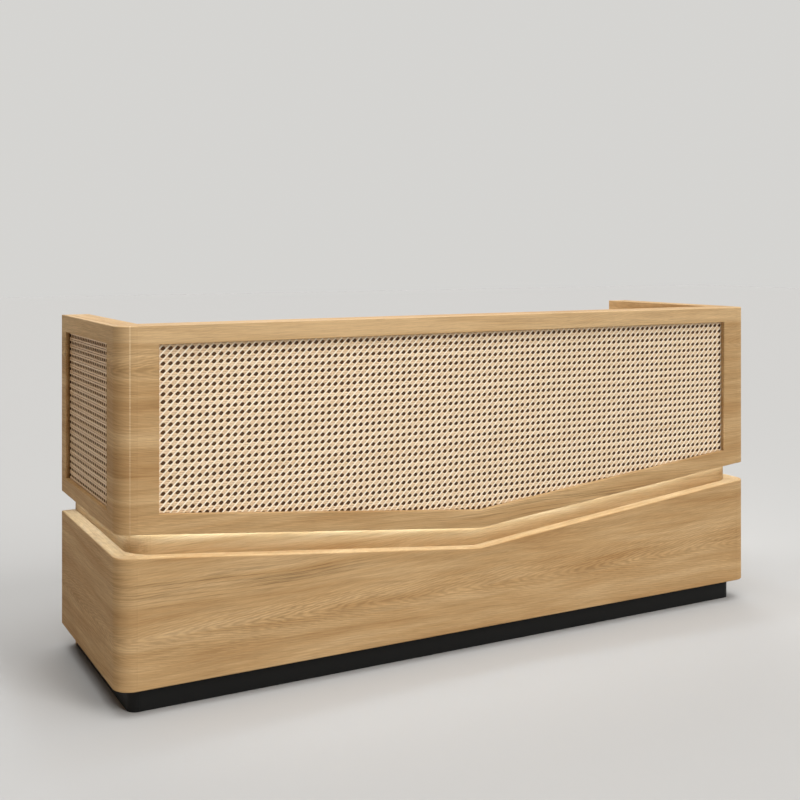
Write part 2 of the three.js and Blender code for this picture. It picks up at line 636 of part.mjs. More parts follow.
const pin = new THREE.CylinderGeometry(HINGE_PIN, HINGE_PIN, HINGE_LENGTH, KNUCKLE_SIDES);
add(hinge, "hinge_pin", pin.rotateX(Math.PI / 2), STEEL).position.z = HINGE_LENGTH / 2;

export default desk;
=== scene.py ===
"""Looks of an oak and cane reception desk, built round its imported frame. Metres, +Z up, front towards -Y."""
import math
from collections import namedtuple

import bmesh
import bpy
import numpy as np
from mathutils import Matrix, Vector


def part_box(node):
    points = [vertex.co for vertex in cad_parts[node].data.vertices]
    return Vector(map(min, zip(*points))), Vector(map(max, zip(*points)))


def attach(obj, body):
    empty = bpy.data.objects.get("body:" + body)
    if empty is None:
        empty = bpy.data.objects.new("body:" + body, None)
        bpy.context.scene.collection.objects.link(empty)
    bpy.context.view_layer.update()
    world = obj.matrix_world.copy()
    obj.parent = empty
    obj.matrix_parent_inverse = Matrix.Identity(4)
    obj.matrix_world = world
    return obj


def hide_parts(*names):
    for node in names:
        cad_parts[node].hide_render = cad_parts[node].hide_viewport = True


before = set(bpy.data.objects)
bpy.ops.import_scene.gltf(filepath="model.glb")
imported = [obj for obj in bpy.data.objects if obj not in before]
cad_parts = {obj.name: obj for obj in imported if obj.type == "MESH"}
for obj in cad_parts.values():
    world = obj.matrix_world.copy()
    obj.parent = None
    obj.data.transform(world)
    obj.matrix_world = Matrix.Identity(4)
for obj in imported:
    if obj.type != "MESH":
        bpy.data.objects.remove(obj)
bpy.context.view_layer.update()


# Plinth
# Boards faced with black laminate, standing on the floor and set back under the casing.
# The laminate has a fine leathery grain, so its low sheen breaks up a little.
def srgb(red, green, blue):
    """A colour given as 0 to 255 display values, turned into linear values by the standard sRGB curve."""
    shares = np.array([red, green, blue]) / 255
    linear = np.where(shares <= 0.04045, shares / 12.92, ((shares + 0.055) / 1.055) ** 2.4)
    return (*linear.tolist(), 1.0)


SATIN = 0.5
MOST_OF_NOISE = (0.3, 0.7)
LAMINATE_BLACK = srgb(22, 22, 21)
LAMINATE_SHEEN = 0.15
LAMINATE_ROUGHNESS = (0.44, 0.58)
CLOUDS_PER_METRE = 9.0
CLOUD_DETAIL = 3.0
LEATHER_PER_METRE = 900.0
LEATHER_DEPTH = 0.00006


def new_finish(name, colour, roughness=SATIN, metallic=0.0):
    """A material with its constant sockets set; returns it with its node tree and its shader."""
    finish = bpy.data.materials.new(name)
    finish.use_nodes = True
    shader = finish.node_tree.nodes["Principled BSDF"]
    shader.inputs["Base Color"].default_value = colour
    shader.inputs["Roughness"].default_value = roughness
    shader.inputs["Metallic"].default_value = metallic
    return finish, finish.node_tree, shader


def plug(tree, value, socket):
    """Links a socket to another one, or sets it where the value is a constant."""
    if isinstance(value, bpy.types.NodeSocket):
        tree.links.new(value, socket)
    else:
        socket.default_value = value


def add_node(tree, kind, settings=None, **sockets):
    """A shader node with its settings, whose sockets are given by name as values or as links."""
    made = tree.nodes.new("ShaderNode" + kind)
    for key, value in (settings or {}).items():
        setattr(made, key, value)
    for key, value in sockets.items():
        plug(tree, value, made.inputs[key])
    return made


def object_place(tree):
    """Object coordinates, which are the desk's own metres."""
    return tree.nodes.new("ShaderNodeTexCoord").outputs["Object"]


def noise(tree, place, scale, detail=2.0, roughness=0.5):
    """Values of a noise at the given coordinates, about 0 to 1; its scale is in waves per unit of them."""
    made = add_node(tree, "TexNoise", Vector=place, Scale=scale, Detail=detail, Roughness=roughness)
    return made.outputs["Fac"]


def spread(tree, value, low, high, to_low, to_high):
    """A value carried from one range to another, held at its ends."""
    made = tree.nodes.new("ShaderNodeMapRange")
    for socket, given in zip(made.inputs, (value, low, high, to_low, to_high)):
        plug(tree, given, socket)
    return made.outputs["Result"]


def vary(tree, value, low, high):
    """A noise carried to a range of its own, from the range in which most of its values lie."""
    return spread(tree, value, *MOST_OF_NOISE, low, high)


def add_bump(tree, shader, height, depth, strength=1.0):
    """Roughens the shader's normal by a height of 0 to 1 times its depth in metres."""
    bump = add_node(tree, "Bump", Height=height, Distance=depth, Strength=strength)
    tree.links.new(bump.outputs["Normal"], shader.inputs["Normal"])


def paint(node, finish):
    """Gives a CAD node one finish."""
    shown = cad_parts[node]
    shown.data.materials.clear()
    shown.data.materials.append(finish)


def black_laminate():
    """Near-black colour with cloudy roughness and a leathery bump."""
    finish, tree, shader = new_finish("black_laminate", LAMINATE_BLACK)
    shader.inputs["Specular IOR Level"].default_value = LAMINATE_SHEEN
    place = object_place(tree)
    clouds = noise(tree, place, CLOUDS_PER_METRE, CLOUD_DETAIL)
    tree.links.new(vary(tree, clouds, *LAMINATE_ROUGHNESS), shader.inputs["Roughness"])
    add_bump(tree, shader, noise(tree, place, LEATHER_PER_METRE), LEATHER_DEPTH)
    return finish


laminate = black_laminate()
for name in ("plinth_front", "plinth_left", "plinth_right", "plinth_rear_left", "plinth_rear_right"):
    paint(name, laminate)


# Core wall
# Veneered boards that stand on the plinth behind both casings. Only a band of them shows, in the groove.
# The oak runs lengthwise and turns the corners with the boards, as veneer does that is laid in one sheet.
WALL_X = 1.2
WALL_Y = -0.35
CORNER_RADIUS = 0.056
CORNER_X = WALL_X - CORNER_RADIUS
CORNER_Y = WALL_Y + CORNER_RADIUS
OAK_PALE = srgb(199, 167, 124)
OAK_BODY = srgb(182, 148, 104)
OAK_WARM = srgb(166, 128, 84)
OAK_SHEEN = 0.02
OAK_ROUGHNESS = (0.55, 0.45)

# Figures of the oak, each a noise with its waves per metre along and across the grain
Figure = namedtuple("Figure", "along across detail roughness", defaults=(2.0, 0.5))
SLOW_BEND = Figure(along=1.3, across=4.0)
SLOW_TONE = Figure(along=0.8, across=2.2)
STREAK = Figure(along=1.4, across=19.0, detail=4.0, roughness=0.6)
RING_WOBBLE = Figure(along=11.0, across=75.0, detail=4.0, roughness=0.6)
RING_CLEARNESS = Figure(along=1.0, across=9.0)
VEIN = Figure(along=1.1, across=88.0, detail=4.0, roughness=0.55)
FIBRE = Figure(along=7.0, across=200.0, detail=4.0, roughness=0.65)
PORE = Figure(along=26.0, across=650.0, roughness=0.6)
BOARD_STEP = (7.3, 3.1, 5.7)

# How far each figure bends, shades or roughens the wood, as a range of its values and what that range gives
GRAIN_BEND = 0.012
STREAK_STOPS = ((0.3, OAK_WARM), (0.5, OAK_BODY), (0.72, OAK_PALE))
RING_WIDTH = 0.007
RING_TAPER = 0.14
RING_WOBBLE_TURNS = 2.6
RING_CLEAR_RANGE = (0.35, 0.65)
RING_CLEAR_SHARE = (0.25, 1.0)
RING_NEAR_HEART = (0.02, 0.08)
RING_SHADE = (0.17, 0.06)
NOISE_MIDDLE = 0.5
VEIN_HALF = 0.04
VEIN_REACH = (0.5, 0.045)
VEIN_FALL = (0.4, 1.1)
VEIN_SHADE = (0.44, 0.11)
FIBRE_SHADE = (0.87, 1.13)
FIBRE_DEPTH = 0.0001
FIBRE_BUMP = 0.4
PORE_RANGE = (0.56, 0.72)
PORE_SHADE = 0.84
TONE_SHADE = (0.96, 1.04)
# The paler wood along the top is a painted sheen, and the thin pale line down the corner is a painted
# highlight
SHEEN_BLEND = 0.02
SHEEN_LIFT = 0.2
HIGHLIGHT_COLOUR = srgb(226, 199, 160)
HIGHLIGHT_HALF = 0.0022
HIGHLIGHT_HEIGHTS = (0.5, 1.0)
HIGHLIGHT_SHOWN = (0.15, 0.7)
HIGHLIGHT_FIBRES = (0.35, 0.6)
HIGHLIGHT_BREAKS = (0.4, 1.0)

# Sockets of the Mix node for colours, which has the same names again for numbers and vectors
MIX_SHARE = 0
MIX_FIRST = 6
MIX_SECOND = 7
MIX_RESULT = 2


def calc(tree, operation, *values):
    """One Math node; its values are constants or links."""
    made = tree.nodes.new("ShaderNodeMath")
    made.operation = operation
    for socket, value in zip(made.inputs, values):
        plug(tree, value, socket)
    return made.outputs["Value"]


def components(tree, vector):
    """The three components of a vector."""
    split = add_node(tree, "SeparateXYZ", Vector=vector)
    return [split.outputs[axis] for axis in "XYZ"]


def length_of(tree, first, second):
    """Length of a vector in a plane, from its two components."""
    pair = add_node(tree, "CombineXYZ", X=first, Y=second).outputs["Vector"]
    return add_node(tree, "VectorMath", {"operation": "LENGTH"}, Vector=pair).outputs["Value"]


def stretched(tree, place, stretch, shift=(0.0, 0.0, 0.0)):
    """Coordinates scaled along each axis, so that a pattern on them is drawn out or pressed together."""
    return add_node(tree, "Mapping", Vector=place, Scale=stretch, Location=shift).outputs["Vector"]


def ramp(tree, share, *stops):
    """A colour ramp; each stop is a place from 0 to 1 and a colour."""
    made = add_node(tree, "ValToRGB", Fac=share)
    elements = made.color_ramp.elements
    for _ in stops[2:]:
        elements.new(1.0)
    for element, (position, colour) in zip(elements, stops):
        element.position = position
        element.color = colour
    return made.outputs["Color"]


def round_the_corners(tree):
    """Grain coordinates of the walls: length along the outline, depth under its face, and height.

    Length is |x| up to the corner, then the corner's arc, then the way back along the side, with x's sign.
    """
    x, y, height = components(tree, object_place(tree))
    across = calc(tree, "ABSOLUTE", x)
    past_x = calc(tree, "MAXIMUM", calc(tree, "SUBTRACT", across, CORNER_X), 0.0)
    past_y = calc(tree, "MAXIMUM", calc(tree, "SUBTRACT", CORNER_Y, y), 0.0)
    arc = calc(tree, "MULTIPLY", calc(tree, "ARCTAN2", past_x, past_y), CORNER_RADIUS)
    back = calc(tree, "MAXIMUM", calc(tree, "SUBTRACT", y, CORNER_Y), 0.0)
    along = calc(tree, "ADD", calc(tree, "ADD", calc(tree, "MINIMUM", across, CORNER_X), arc), back)
    signed = calc(tree, "MULTIPLY", along, calc(tree, "SIGN", x))
    depth = calc(tree, "SUBTRACT", CORNER_RADIUS, length_of(tree, past_x, past_y))
    return add_node(tree, "CombineXYZ", X=signed, Y=depth, Z=height).outputs["Vector"]


def grain_along(axes):
    """Grain coordinates of a flat board: the axes along its grain, through its thickness and across it."""

    def place(tree):
        split = add_node(tree, "SeparateXYZ", Vector=object_place(tree))
        sockets = {into: split.outputs[out] for into, out in zip("XYZ", axes)}
        return add_node(tree, "CombineXYZ", **sockets).outputs["Vector"]

    return place


def drawn(tree, place, figure, shift):
    """The noise of one figure, drawn out along the grain; the shift picks a part of it for each board."""
    stretch = (figure.along, figure.across, figure.across)
    return noise(tree, stretched(tree, place, stretch, shift), 1.0, figure.detail, figure.roughness)


def growth_rings(tree, lie, heart, shift):
    """Shade of the growth rings: slim cones about the heart, given as its depth and its place across.

    Their lines run straight far from the heart and close in narrow arches near it. One noise makes them
    wobble, and another thins them out.
    """
    length, depth, width = components(tree, lie)
    radius = length_of(tree, calc(tree, "ADD", depth, heart[0]), calc(tree, "SUBTRACT", width, heart[1]))
    cone = calc(tree, "SUBTRACT", radius, calc(tree, "MULTIPLY", length, RING_TAPER))
    wobble = calc(tree, "MULTIPLY", drawn(tree, lie, RING_WOBBLE, shift), RING_WOBBLE_TURNS)
    turns = calc(tree, "ADD", calc(tree, "DIVIDE", cone, RING_WIDTH), wobble)
    line = calc(tree, "SINE", calc(tree, "MULTIPLY", turns, 2 * math.pi))
    clear = spread(tree, drawn(tree, lie, RING_CLEARNESS, shift), *RING_CLEAR_RANGE, *RING_CLEAR_SHARE)
    force = calc(tree, "MULTIPLY", clear, spread(tree, radius, *RING_NEAR_HEART, *RING_SHADE))
    return calc(tree, "MULTIPLY_ADD", line, force, 1.0)


def dark_veins(tree, place, lie, veins_at, shift):
    """Shade of thin dark veins where a noise crosses its middle, strongest round a place (length, width)."""
    length, _, width = components(tree, place)
    off_middle = calc(tree, "SUBTRACT", drawn(tree, lie, VEIN, shift), NOISE_MIDDLE)
    thin = spread(tree, calc(tree, "ABSOLUTE", off_middle), 0.0, VEIN_HALF, 1.0, 0.0)
    away = calc(tree, "DIVIDE", calc(tree, "SUBTRACT", length, veins_at[0]), VEIN_REACH[0])
    above = calc(tree, "DIVIDE", calc(tree, "SUBTRACT", width, veins_at[1]), VEIN_REACH[1])
    spot = spread(tree, length_of(tree, away, above), *VEIN_FALL, *VEIN_SHADE)
    return calc(tree, "SUBTRACT", 1.0, calc(tree, "MULTIPLY", thin, spot))


def with_painted_highlight(tree, colour, place, fibres, highlight_at):
    """Adds a painted highlight: a thin pale line at one length, broken by the fibres and fading downwards."""
    length, _, width = components(tree, place)
    beside = calc(tree, "ABSOLUTE", calc(tree, "SUBTRACT", length, highlight_at))
    line = spread(tree, beside, HIGHLIGHT_HALF / 2, HIGHLIGHT_HALF, 1.0, 0.0)
    shown = spread(tree, width, *HIGHLIGHT_HEIGHTS, *HIGHLIGHT_SHOWN)
    shown = calc(tree, "MULTIPLY", shown, spread(tree, fibres, *HIGHLIGHT_FIBRES, *HIGHLIGHT_BREAKS))
    strip = add_node(tree, "Mix", {"data_type": "RGBA"})
    plug(tree, calc(tree, "MULTIPLY", line, shown), strip.inputs[MIX_SHARE])
    plug(tree, colour, strip.inputs[MIX_FIRST])
    plug(tree, HIGHLIGHT_COLOUR, strip.inputs[MIX_SECOND])
    return strip.outputs[MIX_RESULT]


def oak_veneer(name, grain, heart, veins_at, board, highlight_at=None, sheen_from=None):
    """Matt lacquered oak on grain coordinates; the board's number picks its own part of each noise.

    Pale and warm streaks along the grain are shaded by growth rings, veins, fibres, pores and a slow noise,
    on lines that another slow noise bends. A painted highlight is a thin paler line at a given length, and a
    painted sheen makes the wood paler above a given width.
    """
    finish, tree, shader = new_finish(name, OAK_BODY)
    shader.inputs["Specular IOR Level"].default_value = OAK_SHEEN
    shift = tuple(board * step for step in BOARD_STEP)
    place = grain(tree)
    length, depth, width = components(tree, place)
    bend = vary(tree, drawn(tree, place, SLOW_BEND, shift), -GRAIN_BEND, GRAIN_BEND)
    bent = calc(tree, "ADD", width, bend)
    lie = add_node(tree, "CombineXYZ", X=length, Y=depth, Z=bent).outputs["Vector"]

    fibres = drawn(tree, lie, FIBRE, shift)
    pores = drawn(tree, lie, PORE, shift)
    shade = growth_rings(tree, lie, heart, shift)
    for other in (
        dark_veins(tree, place, lie, veins_at, shift),
        vary(tree, fibres, *FIBRE_SHADE),
        spread(tree, pores, *PORE_RANGE, 1.0, PORE_SHADE),
        vary(tree, drawn(tree, place, SLOW_TONE, shift), *TONE_SHADE),
    ):
        shade = calc(tree, "MULTIPLY", shade, other)

    streaks = drawn(tree, lie, STREAK, shift)
    if sheen_from is not None:
        painted_sheen = spread(tree, bent, sheen_from, sheen_from + SHEEN_BLEND, 0.0, SHEEN_LIFT)
        streaks = calc(tree, "ADD", streaks, painted_sheen)
    band = ramp(tree, streaks, *STREAK_STOPS)
    shaded = add_node(tree, "VectorMath", {"operation": "SCALE"}, Vector=band, Scale=shade)
    colour = shaded.outputs["Vector"]
    if highlight_at is not None:
        colour = with_painted_highlight(tree, colour, place, fibres, highlight_at)
    tree.links.new(colour, shader.inputs["Base Color"])
    tree.links.new(vary(tree, fibres, *OAK_ROUGHNESS), shader.inputs["Roughness"])
    add_bump(tree, shader, calc(tree, "SUBTRACT", fibres, pores), FIBRE_DEPTH, FIBRE_BUMP)
    return finish


wall_oak = oak_veneer("wall_oak", round_the_corners, heart=(0.01, 0.215), veins_at=(-0.85, 0.345), board=0)
for name in ("core_front", "core_left", "core_right"):
    paint(name, wall_oak)


# Lower casing
# Veneered boards bent round the front corners, folded into a ledge under the groove and a foot below.
# Their outer arrises are eased, and the three lengths butt together where the corners begin.
LEDGE_ARRIS = 0.003
SHARP = math.radians(40)
FLAT = math.radians(0.5)
BOARD_MERGE = 1e-5
FACE_DEPTH = 0.0008
SEAM_REACH = 0.0006


def add_object(name, data):
    """An object in the scene that shows the given mesh, lamp or camera."""
    made = bpy.data.objects.new(name, data)
    bpy.context.scene.collection.objects.link(made)
    return made


def new_piece(name, mesh, body, finish):
    """An object at the origin that carries the mesh, rides on a body and has one finish."""
    mesh.materials.clear()
    mesh.materials.append(finish)
    piece = add_object(name, mesh)
    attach(piece, body)
    return piece


def eased_board(name, node, body, finish, arris, chosen=None, segments=3):
    """A board with rounded arrises: the CAD node's faces merged and its flats dissolved, then a live bevel.

    The bevel takes each sharp edge, or only those whose midpoints chosen picks from an array of them all.
    """
    shape = bmesh.new()
    shape.from_mesh(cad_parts[node].data)
    bmesh.ops.remove_doubles(shape, verts=shape.verts, dist=BOARD_MERGE)
    bmesh.ops.dissolve_limit(shape, angle_limit=FLAT, verts=shape.verts, edges=shape.edges)
    angles = np.array([edge.calc_face_angle(0.0) for edge in shape.edges])
    middles = np.array([(edge.verts[0].co + edge.verts[1].co) / 2 for edge in shape.edges])
    mesh = bpy.data.meshes.new(name)
    shape.to_mesh(mesh)
    shape.free()
    eased = angles > SHARP
    if chosen is not None:
        eased &= chosen(middles)
    weight = mesh.attributes.new("bevel_weight_edge", "FLOAT", "EDGE")
    weight.data.foreach_set("value", eased.astype(np.float32))
    mesh.shade_smooth()
    mesh.set_sharp_from_angle(angle=SHARP)
    piece = new_piece(name, mesh, body, finish)
    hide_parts(node)
    rounding = piece.modifiers.new("arrises", "BEVEL")
    rounding.limit_method = "WEIGHT"
    rounding.width = arris
    rounding.segments = segments
    rounding.use_clamp_overlap = True
    flats = piece.modifiers.new("flats", "WEIGHTED_NORMAL")
    flats.keep_sharp = True


def on_outer_face(middles):
    """Edges on the walls' outer face, at no depth under the rounded outline, without those at the joints."""
    past_x = np.maximum(np.abs(middles[:, 0]) - CORNER_X, 0)
    past_y = np.maximum(CORNER_Y - middles[:, 1], 0)
    depth = CORNER_RADIUS - np.hypot(past_x, past_y)
    at_seam = np.abs(np.abs(middles[:, 0]) - CORNER_X) < SEAM_REACH
    return (depth < FACE_DEPTH) & ~at_seam


for side in ("front", "left", "right"):
    node = f"lower_{side}_panel"
    eased_board(f"lower_casing_{side}", node, "desk", wall_oak, LEDGE_ARRIS, on_outer_face)


# Upper casing
# The same boards above the groove, with an opening cut for each cane panel and a soffit for the light.
# Rails and stiles are one veneered face, so the grain runs level across the stiles too.
# A painted highlight runs down the left front corner as a thin pale line, and a painted sheen makes the wood
# paler along the top.
CASING_ARRIS = 0.0025
SHEEN_FROM = 1.035
HIGHLIGHT_ON_CORNER = 0.020
upper_oak = oak_veneer(
    "upper_oak",
    round_the_corners,
    heart=(0.012, 0.97),
    veins_at=(0.3, 0.46),
    board=1,
    highlight_at=-(CORNER_X + HIGHLIGHT_ON_CORNER),
    sheen_from=SHEEN_FROM,
)
for side in ("front", "left", "right"):
    node = f"upper_{side}_panel"
    eased_board(f"upper_casing_{side}", node, "desk", upper_oak, CASING_ARRIS, on_outer_face)


# Backing of the cane
# Thin boards fixed behind the openings, whose dark brown is painted shade of the deep recess,
# so that the holes of the cane read as dark dots.
BACKING_SHADE = srgb(75, 48, 24)
BACKING_SHADE_DARK = srgb(68, 42, 17)
BACKING_SHADE_LIGHT = srgb(94, 62, 29)
BACKING_ROUGHNESS = 0.85
BACKING_STRETCH = (6.0, 6.0, 120.0)
BACKING_DETAIL = 3.0
BACKING_DEPTH = 0.0002


def painted_shade_board():
    """Dark brown as painted shade, a little lighter along the wood's fibres."""
    finish, tree, shader = new_finish("painted_shade_board", BACKING_SHADE, BACKING_ROUGHNESS)
    fibres = noise(tree, stretched(tree, object_place(tree), BACKING_STRETCH), 1.0, BACKING_DETAIL)
    colour = ramp(tree, fibres, *zip(MOST_OF_NOISE, (BACKING_SHADE_DARK, BACKING_SHADE_LIGHT)))
    tree.links.new(colour, shader.inputs["Base Color"])
    add_bump(tree, shader, fibres, BACKING_DEPTH)
    return finish


backing_finish = painted_shade_board()
for name in ("cane_backing_front", "cane_backing_left", "cane_backing_right"):
    paint(name, backing_finish)


# Cane webbing
# Split cane woven on a frame in pairs of upright and level strands, with single slanting strands over
# them, which leaves round holes. It is soaked, pressed into the rebate behind each opening and dries tight.
PITCH = 0.0218
STEPS_PER_CELL = 4
CANE_DEPTH = 0.0170
WAVE = 0.00025
TOP_ROW = 1.034
FRONT_ROWS = 27
FRONT_MIDDLE = 0.0034
FRONT_HOLES_BESIDE = 49
SIDE_ROWS = 22
SIDE_MIDDLE = 0.033
SIDE_HOLES_BESIDE = 11
REBATE_LAP = 0.0085
OPENING_TOP = 1.046
FRONT_OPENING_X = 1.08
FRONT_OPENING_FOOT = 0.574
FRONT_OPENING_DROP = 0.112
SIDE_OPENING_Y = (-0.23, 0.296)
SIDE_OPENING_FOOT = 0.565
CANE_RIND = srgb(247, 227, 198)
CANE_STOPS = ((0.2, srgb(210, 175, 133)), (0.5, srgb(236, 210, 174)), (0.8, srgb(255, 242, 221)))
CANE_ROUGHNESS = 0.45
CANE_SHEEN = 0.3
TONE_SHARE = 0.75
TONE_RANGE = 0.22
BLOTCHES_PER_METRE = 45.0
RIND_PER_METRE = 700.0
RIND_DEPTH = 0.0001
RIND_BUMP = 0.5
CANE_SEED = 7

# A strand's section across its width and up to its crown, as shares of the two
SECTION_ACROSS = np.array([-0.5, -0.27, 0.27, 0.5])
SECTION_RISE = np.array([0.0, 1.0, 1.0, 0.0])

# Sizes of the strands, their lift off the panel's plane, their tone, and how far a pair lies beside its line.
# The tones are partly painted light: paler rising strands as a painted highlight, and darker other strands,
# most of all the side's uprights, as painted shade.
Strand = namedtuple("Strand", "width crown lift tone beside", defaults=(0.0,))
FRONT_CANE = {
    "upright": Strand(width=0.0039, crown=0.0007, lift=-0.00045, tone=0.42, beside=0.0020),
    "level": Strand(width=0.0051, crown=0.0012, lift=0.00015, tone=0.36, beside=0.0027),
    "rising": Strand(width=0.0048, crown=0.0008, lift=0.0009, tone=0.88),
    "falling": Strand(width=0.0025, crown=0.0007, lift=0.0, tone=0.2),
}
SIDE_CANE = {
    "upright": Strand(width=0.0024, crown=0.0007, lift=-0.0010, tone=0.15, beside=0.0013),
    "level": Strand(width=0.0066, crown=0.0022, lift=0.00015, tone=0.25, beside=0.0033),
    "rising": Strand(width=0.0022, crown=0.0006, lift=-0.0004, tone=0.4),
    "falling": Strand(width=0.0018, crown=0.0006, lift=-0.0006, tone=0.2),
}
rng = np.random.default_rng(CANE_SEED)


def cane_fibre():
    """Pale glossy rind with a fine grain: each strand's tone, partly painted light, mixed with blotches."""
    finish, tree, shader = new_finish("cane_fibre", CANE_RIND, CANE_ROUGHNESS)
    shader.inputs["Specular IOR Level"].default_value = CANE_SHEEN
    tone = add_node(tree, "Attribute", {"attribute_name": "tone"}).outputs["Fac"]
    blotch = noise(tree, object_place(tree), BLOTCHES_PER_METRE)
    shade_and_tone_share = calc(tree, "MULTIPLY", tone, TONE_SHARE)
    mixed = calc(tree, "ADD", shade_and_tone_share, calc(tree, "MULTIPLY", blotch, 1 - TONE_SHARE))
    tree.links.new(ramp(tree, mixed, *CANE_STOPS), shader.inputs["Base Color"])
    add_bump(tree, shader, noise(tree, object_place(tree), RIND_PER_METRE), RIND_DEPTH, RIND_BUMP)
    return finish


def strands(centre, along, wave, cut, inside):
    """Closed ribbons along straight lines in a panel's plane, as vertices (u, v, out), faces and tones.

    centre holds a point for each strand and station, along is the strands' unit direction, wave how far the
    ribbon rises there, cut its sizes, and inside says which stations lie in the panel. The section is a
    crowned trapezium, carried from station to station and closed at both ends of each run.
    """
    across = np.array([along[1], -along[0]])
    offset = SECTION_ACROSS * cut.width
    crown = SECTION_RISE * cut.crown + cut.lift
    plane = centre[:, :, None, :] + offset[None, None, :, None] * across
    out = np.broadcast_to(wave[:, :, None] + crown, plane.shape[:3])
    vertices = np.concatenate([plane, out[..., None]], axis=-1)
    index = np.arange(vertices[..., 0].size).reshape(vertices.shape[:3])
    runs = inside[:, :-1] & inside[:, 1:]
    near, far = index[:, :-1][runs], index[:, 1:][runs]
    turn = np.roll(np.arange(len(SECTION_ACROSS)), -1)
    sides = np.stack([near, far, far[:, turn], near[:, turn]], axis=-1).reshape(-1, 4)
    padded = np.pad(inside, ((0, 0), (1, 1)))
    first = index[inside & ~padded[:, :-2] & padded[:, 2:]]
    last = index[inside & padded[:, :-2] & ~padded[:, 2:]]
    faces = np.concatenate([sides, first, last[:, ::-1]])
    # Each strand's tone is its family's share of painted highlight and shade, plus a random part that is the
    # cane's own
    strand_shade_and_tone = cut.tone + TONE_RANGE * (rng.random(len(centre)) - 0.5)
    strand_tone = np.broadcast_to(strand_shade_and_tone[:, None, None], index.shape)
    used, compact = np.unique(faces, return_inverse=True)
    return vertices.reshape(-1, 3)[used], compact.reshape(-1, 4), strand_tone.reshape(-1)[used]


def weave(columns, rows, contains, cuts):
    """The four families of strands of one panel.

    columns and rows are hole centres. Strands run half a pitch beside them on a cosine wave, which takes
    the two of a pair over and under by turns, and their stations follow each quarter of a cell.
    """
    quarter = PITCH / STEPS_PER_CELL
    u_lines = np.append(columns - PITCH / 2, columns[-1] + PITCH / 2)
    v_lines = np.append(rows + PITCH / 2, rows[-1] - PITCH / 2)
    u_stations = np.arange(u_lines[0] - PITCH, u_lines[-1] + PITCH, quarter)
    v_stations = np.arange(v_lines[-1] - PITCH, v_lines[0] + PITCH, quarter)
    pair = np.array([-1.0, 1.0])

    def wave(position, start, sign):
        return WAVE * sign * np.cos(2 * np.pi * (position - start) / PITCH)

    u = (u_lines[:, None] + pair * cuts["upright"].beside).ravel()
    sign = np.tile(pair, len(u_lines))[:, None]
    centre = np.stack(np.broadcast_arrays(u[:, None], v_stations[None, :]), axis=-1)
    rise = wave(v_stations[None, :], v_lines[0], sign)
    yield "upright", strands(centre, (0.0, 1.0), rise, cuts["upright"], contains(centre))

    v = (v_lines[:, None] + pair * cuts["level"].beside).ravel()
    sign = np.tile(pair, len(v_lines))[:, None]
    centre = np.stack(np.broadcast_arrays(u_stations[None, :], v[:, None]), axis=-1)
    rise = wave(u_stations[None, :], u_lines[0], sign)
    yield "level", strands(centre, (1.0, 0.0), rise, cuts["level"], contains(centre))

    for name, slope in (("rising", 1.0), ("falling", -1.0)):
        crossing = columns[0] - slope * rows[0] + PITCH / 2
        reach = math.ceil((u_lines[-1] - u_lines[0] + v_lines[0] - v_lines[-1]) / PITCH)
        lines = crossing + np.arange(-reach, reach + 1) * PITCH
        centre_u = lines[:, None] + slope * v_stations[None, :]
        centre = np.stack([centre_u, np.broadcast_to(v_stations, centre_u.shape)], axis=-1)
        rise = np.broadcast_to(wave(v_stations[None, :], v_lines[0], slope), centre_u.shape)
        along = np.array([slope, 1.0]) / math.sqrt(2)
        keep = contains(centre)
        held = keep.sum(axis=1) > 1
        yield name, strands(centre[held], along, rise[held], cuts[name], keep[held])


def in_front_opening(points):
    """Inside the front opening and its lap: between the stiles, under the top rail, over the lower one."""
    u, v = np.abs(points[..., 0]), points[..., 1]
    foot = FRONT_OPENING_FOOT - FRONT_OPENING_DROP * (1 - u / CORNER_X)
    return (u < FRONT_OPENING_X + REBATE_LAP) & (v < OPENING_TOP + REBATE_LAP) & (v > foot - REBATE_LAP)


def on_front(points):
    """Panel coordinates (u, v, out) set on the front: u along X, out towards -Y."""
    return np.stack([points[:, 0], WALL_Y + CANE_DEPTH - points[:, 2], points[:, 1]], axis=-1)


def in_side_opening(hand):
    """The test for points in a side opening and its lap; hand is 1 right and -1 left, u is Y times hand."""
    low = np.array([SIDE_OPENING_Y[0], SIDE_OPENING_FOOT]) - REBATE_LAP
    high = np.array([SIDE_OPENING_Y[1], OPENING_TOP]) + REBATE_LAP

    def contains(points):
        placed = points * (hand, 1)
        return ((placed > low) & (placed < high)).all(axis=-1)

    return contains


def on_side(hand):
    """Sets panel coordinates on a side: u along Y times hand, out towards X times hand."""

    def placed(points):
        out = hand * (WALL_X - CANE_DEPTH + points[:, 2])
        return np.stack([out, hand * points[:, 0], points[:, 1]], axis=-1)

    return placed


